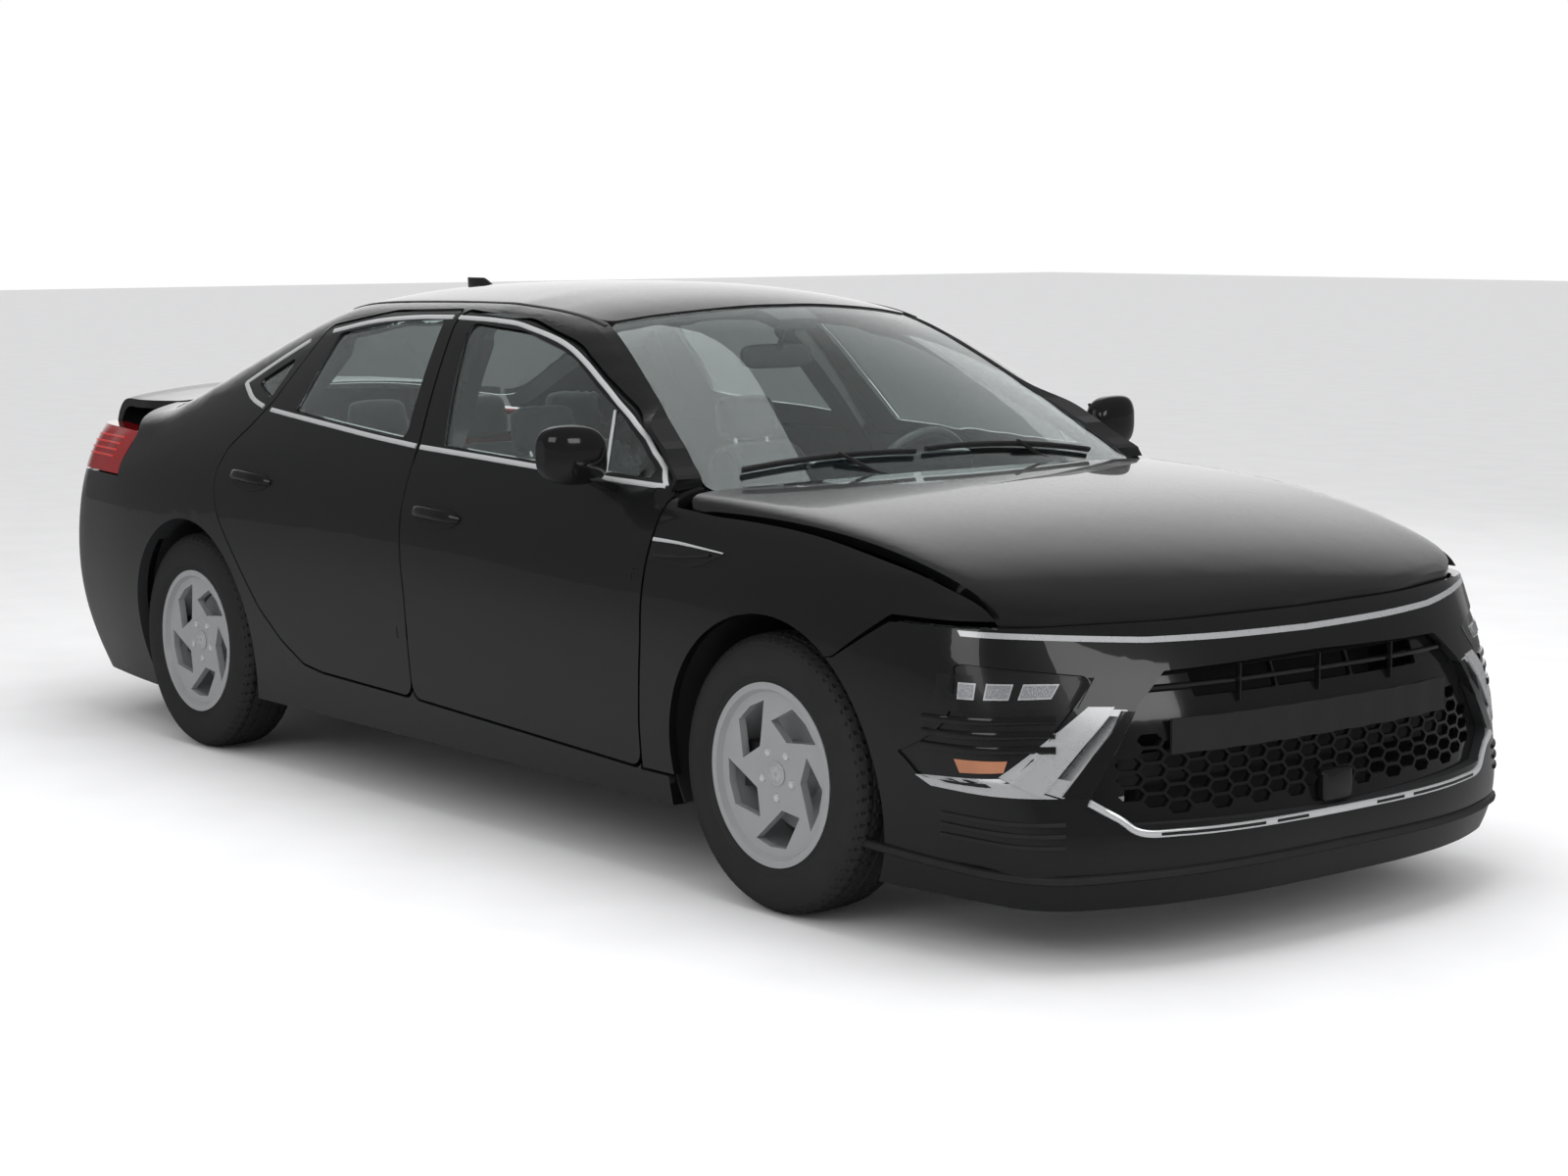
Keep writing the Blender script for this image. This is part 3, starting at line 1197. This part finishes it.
class SALOON_OT_tail(bpy.types.Operator):
    """Lamp lines, reflectors and lower panel of the tail"""
    bl_idname = "saloon.tail"
    bl_label = "Tail"

    def execute(self, context):
        lamp_lines()
        lower_panel()
        rear_reflectors()
        return {"FINISHED"}


# Seats

def pad(name, foot, top, outward, half, thick, bolster, taper, rows=30, count=56):
    """A crowned, closed pad between foot and top.

    Its rings are superellipses across it. Their size falls to nothing at both ends as
    (1 - |2s - 1|^n)^(1/m), and the outer side rises by the bolster where |across| passes a half.
    """
    share = (1 - np.cos(np.pi * np.linspace(0.02, 0.98, rows))) / 2
    foot, top, outward = (np.asarray(item, float) for item in (foot, top, outward))
    wide = half * (1 - np.abs(2 * share - 1) ** 9) ** 0.25 * (1 - taper * share ** 2)
    high = thick * (1 - np.abs(2 * share - 1) ** 4) ** 0.4
    ring = ellipse(1.0, 1.0, count, 3.4)
    rise = bolster * np.clip((np.abs(ring[:, 0]) - 0.45) / 0.35, 0, 1) ** 2 * (ring[:, 1] > 0)
    sideways = wide[:, None] * ring[None, :, 0]
    upward = high[:, None] * ring[None, :, 1] + rise[None] * (high / thick)[:, None]
    middle = foot + (top - foot) * share[:, None]
    grid = middle[:, None] + sideways[..., None] * (0, 1, 0) + upward[..., None] * outward
    return Shell().tube(grid).made(name, seat_cloth(), "shell", "seat_cloth", sharp=70)


def coordinates(mesh):
    """A mesh's corners as one array."""
    flat = np.empty(len(mesh.vertices) * 3)
    mesh.vertices.foreach_get("co", flat)
    return flat.reshape(-1, 3)


def evaluated(piece):
    """A mesh with the piece's modifiers worked in."""
    bpy.context.view_layer.update()
    graph = bpy.context.evaluated_depsgraph_get()
    return bpy.data.meshes.new_from_object(piece.evaluated_get(graph))


def worked_in(piece):
    """The piece's mesh replaced by the one its modifiers give, and the modifiers taken off."""
    piece.data = evaluated(piece)
    piece.modifiers.clear()
    return piece.data


def filled(piece, cell, most):
    """The pad remeshed, blown up as cloth and capped at a most shift for each point."""
    look = bpy.context.scene.saloon_cabin
    remesh = piece.modifiers.new("cells", "REMESH")
    remesh.mode = "VOXEL"
    remesh.voxel_size = cell
    mesh = worked_in(piece)
    start = coordinates(mesh)
    cloth = piece.modifiers.new("cloth", "CLOTH")
    cloth.settings.use_pressure = True
    cloth.settings.uniform_pressure_force = look.pressure
    cloth.settings.effector_weights.gravity = 0
    cloth.point_cache.frame_start = 1
    cloth.point_cache.frame_end = 20
    for moment in range(1, 21):
        bpy.context.scene.frame_set(moment)
    shift = coordinates(evaluated(piece)) - start
    piece.modifiers.clear()
    length = np.linalg.norm(shift, axis=1, keepdims=True)
    landed = start + shift * np.minimum(1, most / np.maximum(length, 1e-9))
    mesh.vertices.foreach_set("co", landed.ravel())
    bpy.context.scene.frame_set(1)
    finer = piece.modifiers.new("finer", "SUBSURF")
    finer.levels = 1
    finer.render_levels = 1
    shaded(worked_in(piece))
    return piece


def seamed(piece, middle, seams, channels, along, depth=0.0045, width=0.0055):
    """Sewn lines pressed into a pad: a bell of the depth and width round each seam and channel."""
    mesh = piece.data
    points = coordinates(mesh)
    normals = np.empty(len(mesh.vertices) * 3)
    mesh.vertices.foreach_get("normal", normals)
    normals = normals.reshape(-1, 3)
    sink = np.zeros(len(points))
    for place in seams:
        sink = np.maximum(sink, np.exp(-((np.abs(points[:, 1] - middle) - place) / width) ** 2))
    inner = np.abs(points[:, 1] - middle) < max(seams)
    for place in channels:
        sink = np.maximum(sink, 0.7 * inner * np.exp(-((points @ np.asarray(along) - place) / width) ** 2))
    mesh.vertices.foreach_set("co", (points - depth * sink[:, None] * normals).ravel())
    mesh.update()


def twin(piece, name):
    """The pad's copy on the other side of the car."""
    mesh = piece.data.copy()
    form = bmesh.new()
    form.from_mesh(mesh)
    for vertex in form.verts:
        vertex.co.y = -vertex.co.y
    bmesh.ops.reverse_faces(form, faces=form.faces)
    form.to_mesh(mesh)
    form.free()
    return placed(bpy.data.objects.new(name, mesh), "shell", "seat_cloth")


def rounded_box(low, high, power=6.0, rows=10, count=28):
    """A closed block with rounded edges between two corners."""
    low, high = np.asarray(low, float), np.asarray(high, float)
    middle, half = (low + high) / 2, (high - low) / 2
    turn = np.linspace(-0.5, 0.5, rows) * np.pi
    level = np.sign(np.sin(turn)) * np.abs(np.sin(turn)) ** (2 / power)
    size = np.abs(np.cos(turn)) ** (2 / power)
    size[[0, -1]] = 0.02
    ring = ellipse(1.0, 1.0, count, power)
    return joined(middle[0] + half[0] * size[:, None] * ring[:, 0],
                  middle[1] + half[1] * size[:, None] * ring[:, 1], (middle[2] + half[2] * level)[:, None])


SEAT_Y = 0.370
MOST_SHIFT = 0.012


def front_pads(cell):
    """Cushion, back and head rest of the left seat, and their copies on the right."""
    y = SEAT_Y
    pads = (
        ("front_cushion", (-0.035, y, 0.414), (0.452, y, 0.420), (0.02, 0, 1), 0.212, 0.056, 0.020, 0.02,
         (0.135,), (0.05, 0.13, 0.21, 0.29), (1, 0, 0)),
        ("front_back", (0.000, y, 0.505), (-0.186, y, 0.962), (0.926, 0, 0.377), 0.212, 0.050, 0.022, 0.20,
         (0.128,), (0.60, 0.68, 0.76, 0.84), (0, 0, 1)),
        ("front_head_rest", (-0.190, y, 0.962), (-0.222, y, 1.092), (0.96, 0, 0.25), 0.106, 0.040, 0.0, 0.10,
         (), (), (0, 0, 1)),
    )
    for name, foot, top, out, half, thick, bolster, taper, seams, channels, along in pads:
        piece = pad(name + "_left", foot, top, unit(np.array(out, float)), half, thick, bolster, taper)
        filled(piece, cell, MOST_SHIFT)
        if seams:
            seamed(piece, y, seams, channels, along)
        twin(piece, name + "_right")


def rear_pads(cell):
    """Cushion, back and three head rests of the rear seat."""
    pads = (
        ("rear_cushion", (-1.010, 0, 0.414), (-0.560, 0, 0.420), (0.02, 0, 1), 0.600, 0.056, 0.006, 0.02,
         (0.150, 0.480), (-0.90, -0.80, -0.70), (1, 0, 0)),
        ("rear_back", (-1.000, 0, 0.505), (-1.106, 0, 0.930), (0.970, 0, 0.243), 0.600, 0.048, 0.008, 0.04,
         (0.150, 0.480), (0.60, 0.70, 0.80), (0, 0, 1)),
    )
    for name, foot, top, out, half, thick, bolster, taper, seams, channels, along in pads:
        piece = pad(name, foot, top, unit(np.array(out, float)), half, thick, bolster, taper, 30, 96)
        filled(piece, cell, MOST_SHIFT)
        seamed(piece, 0.0, seams, channels, along)
    for index, y in enumerate((SEAT_Y, 0.0, -SEAT_Y)):
        piece = pad("rear_head_rest_%d" % (index + 1), (-1.112, y, 0.935), (-1.130, y, 1.068), (1, 0, 0.1),
                    0.104, 0.038, 0.0, 0.12)
        filled(piece, cell * 0.75, 0.010)


def seat_bases():
    """The blocks and rails under the front seats, the posts of their head rests, and the rear bench."""
    base, posts = Shell(), Shell()
    for _, side in SIDES:
        y = SEAT_Y * side
        base.tube(rounded_box((-0.055, y - 0.225, 0.250), (0.430, y + 0.225, 0.362)))
        for rail in (-0.17, 0.17):
            base.tube(rounded_box((-0.050, y + rail - 0.02, 0.2135), (0.340, y + rail + 0.02, 0.262)))
        for offset in (-0.06, 0.06):
            path = np.linspace((-0.172, y + offset, 0.930), (-0.196, y + offset, 1.000), 5)
            posts.bar(path, (1, 0, 0), ellipse(0.006, 0.006, 12))
    base.made("front_seat_bases", cabin_plastic(), "shell", "cabin_plastic", replaces=("front_seats",))
    posts.made("head_rest_posts", plain("bright_strip"), "shell", "satin_silver")
    bench = Shell().tube(rounded_box((-1.050, -0.610, 0.339), (-0.600, 0.610, 0.372)))
    bench.made("rear_seat_base", cabin_plastic(), "shell", "cabin_plastic", replaces=("rear_seat",))


class SALOON_OT_seats(bpy.types.Operator):
    """Padded seats, their head rests, posts and bases"""
    bl_idname = "saloon.seats"
    bl_label = "Seats"

    def execute(self, context):
        cell = context.scene.saloon_cabin.voxel
        front_pads(cell * 0.75)
        rear_pads(cell)
        seat_bases()
        return {"FINISHED"}


# Cabin

def leaned(grid, centre, degrees):
    """Points given as (upwards, across, outwards) on a face that leans back by an angle, about a centre."""
    lean = math.radians(degrees)
    up = np.array((math.sin(lean), 0.0, math.cos(lean)))
    out = np.array((-math.cos(lean), 0.0, math.sin(lean)))
    return centre + grid[..., :1] * up + grid[..., 1:2] * (0.0, 1.0, 0.0) + grid[..., 2:] * out


def spoke_detail():
    """A plain boss and two rows of keys on the steering wheel."""
    centre = np.array((0.560, SEAT_Y, 0.870))
    rings = np.array(((0.002, 0.034), (0.040, 0.033), (0.060, 0.026), (0.066, 0.012), (0.064, -0.010),
                      (0.050, -0.020)))
    turn = np.linspace(0, 2 * np.pi, 40, endpoint=False)
    boss = joined(rings[:, :1] * np.sin(turn), rings[:, :1] * 1.25 * np.cos(turn), rings[:, 1:] * 0.8)
    Shell().tube(leaned(boss, centre, 25)).made("wheel_boss", cabin_plastic(), "wheel_control",
                                                "cabin_plastic")
    keys = Shell()
    key = rounded_box((-0.008, -0.008, -0.004), (0.008, 0.008, 0.004), 5.0, 8, 16)
    for side in (-1, 1):
        for index in range(3):
            keys.tube(leaned(key + (0, side * (0.085 + 0.021 * index), 0.012), centre, 25))
    keys.made("wheel_keys", satin_silver(), "wheel_control", "satin_silver")


def dashboard_detail():
    """The centre screen and the slats of three vents on the dashboard."""
    panel = rounded_box((-0.300, -0.085, -0.012), (0.300, 0.085, 0.012), 10.0, 10, 48)[..., [1, 0, 2]]
    screen = Shell().tube(leaned(panel, (0.700, 0.150, 0.905), 18))
    screen.made("dash_screen", plain("screen"), "shell", "cabin_plastic", sharp=35)
    vents = Shell()
    for y in (-0.60, -0.46, 0.60):
        for step in range(4):
            low = (0.655, y - 0.055, 0.822 - step * 0.016)
            high = (0.690, y + 0.055, low[2] + 0.007)
            vents.tube(rounded_box(low, high, 5.0, 8, 20))
    vents.made("dash_vents", plain("gloss_black"), "shell", "cabin_plastic")


def mirror_and_camera():
    """Inside mirror on its stalk and the dark housing behind the top of the windscreen."""
    start = ((0.30, -0.11, 1.0), (0.30, 0.11, 1.0), (0.50, 0.07, 1.0), (0.50, -0.07, 1.0))
    housing = Shell().plate_on(["fixed_glass"], bilinear(start, 12, 12), (0, 0, 1), 0.004, -0.030)
    housing.made("camera_housing", cabin_plastic(), "shell", "cabin_plastic", sharp=50)
    centre = np.array((0.400, 0.0, 1.245))
    mirror = Shell().tube(rounded_box((-0.014, -0.125, -0.034), (0.014, 0.125, 0.034), 4.0, 12, 36) + centre)
    stalk = np.linspace(centre + (0.010, 0, 0.020), (0.440, 0.0, 1.325), 6)
    mirror.bar(stalk, (0, 1, 0), ellipse(0.009, 0.009, 12))
    mirror.made("inside_mirror", cabin_plastic(), "shell", "cabin_plastic")
    face = Shell().tube(rounded_box((-0.0165, -0.115, -0.028), (-0.0125, 0.115, 0.028), 5.0, 8, 36) + centre)
    face.made("inside_mirror_glass", plain("mirror_glass"), "shell", "satin_silver")


def outer_mirror(name, side):
    """Reflecting face of one door mirror."""
    start = joined(0.55, (np.linspace(0.875, 1.015, 14) * side)[:, None], np.linspace(0.985, 1.095, 10))
    face = Shell().plate_on(["mirror_" + name], start, FORWARDS, 0.001, 0.002)
    face.made("mirror_face_" + name, plain("mirror_glass"), "front_door_" + name, "satin_silver", sharp=60)


def wiper(arms, blades, foot, elbow, ends):
    """One wiper: an arm from its foot to the blade, and the blade lying on the windscreen."""
    line = np.linspace(ends[0], ends[1], 40)
    start = joined(line[:, 0], line[:, 1], ABOVE)
    path, normals = laid_on(["fixed_glass", "bonnet", "front_frame", "dashboard"], start, (0, 0, -1), 0.010)
    blades.bar(path, normals, ellipse(0.006, 0.008, 8, 2.6))
    arm = smooth_line([foot, elbow, path[18] + 0.010 * normals[18]], 24)
    arms.bar(arm, (0, 0, 1), ellipse(0.007, 0.005, 8, 3.0))


def wipers():
    """Two wipers parked at the foot of the windscreen."""
    arms, blades = Shell(), Shell()
    wiper(arms, blades, (1.135, 0.52, 0.945), (1.10, 0.40, 0.972), ((1.060, 0.56), (1.085, -0.06)))
    wiper(arms, blades, (1.160, -0.12, 0.950), (1.13, -0.24, 0.978), ((1.090, -0.10), (1.030, -0.62)))
    arms.made("wiper_arms", plain("grained_black"), "shell", "grille_black")
    blades.made("wiper_blades", rubber(), "shell", "grille_black")


def arm_rests(name, side):
    """An arm rest on the inner side of both doors of one side."""
    for door, low, high in (("front_door_", 0.05, 0.62), ("rear_door_", -0.78, -0.30)):
        grid = rounded_box((low, 0.735, 0.600), (high, 0.800, 0.660), 4.0, 12, 40) * (1, side, 1)
        Shell().tube(grid).made("arm_rest_" + door + name, cabin_plastic(), door + name, "cabin_plastic")


class SALOON_OT_cabin(bpy.types.Operator):
    """Steering wheel, dashboard, mirrors, wipers and arm rests"""
    bl_idname = "saloon.cabin"
    bl_label = "Cabin"

    def execute(self, context):
        spoke_detail()
        dashboard_detail()
        mirror_and_camera()
        for name, side in SIDES:
            outer_mirror(name, side)
        wipers()
        for name, side in SIDES:
            arm_rests(name, side)
        return {"FINISHED"}


STEPS = (SALOON_OT_stage, SALOON_OT_panels, SALOON_OT_trim, SALOON_OT_nose, SALOON_OT_wheels,
         SALOON_OT_tail, SALOON_OT_seats, SALOON_OT_cabin)
LOOKS = {"saloon_body": BodyLook, "saloon_wheels": WheelLook, "saloon_cabin": CabinLook,
         "saloon_stage": StageLook}


class SALOON_PT_steps(bpy.types.Panel):
    """The car's pieces, one button each"""
    bl_idname = "SALOON_PT_steps"
    bl_label = "Saloon"
    bl_space_type = "VIEW_3D"
    bl_region_type = "UI"
    bl_category = "Saloon"

    def draw(self, context):
        for step in STEPS:
            self.layout.operator(step.bl_idname)


CLASSES = (*LOOKS.values(), *STEPS, SALOON_PT_steps)


def register():
    for item in CLASSES:
        bpy.utils.register_class(item)
    for name, look in LOOKS.items():
        setattr(bpy.types.Scene, name, bpy.props.PointerProperty(type=look))


def unregister():
    for name in LOOKS:
        delattr(bpy.types.Scene, name)
    for item in reversed(CLASSES):
        bpy.utils.unregister_class(item)


def main():
    register()
    for step in STEPS:
        group, name = step.bl_idname.split(".")
        if getattr(getattr(bpy.ops, group), name)() != {"FINISHED"}:
            raise RuntimeError("%s did not finish" % step.bl_label)


if __name__ == "__main__":
    main()
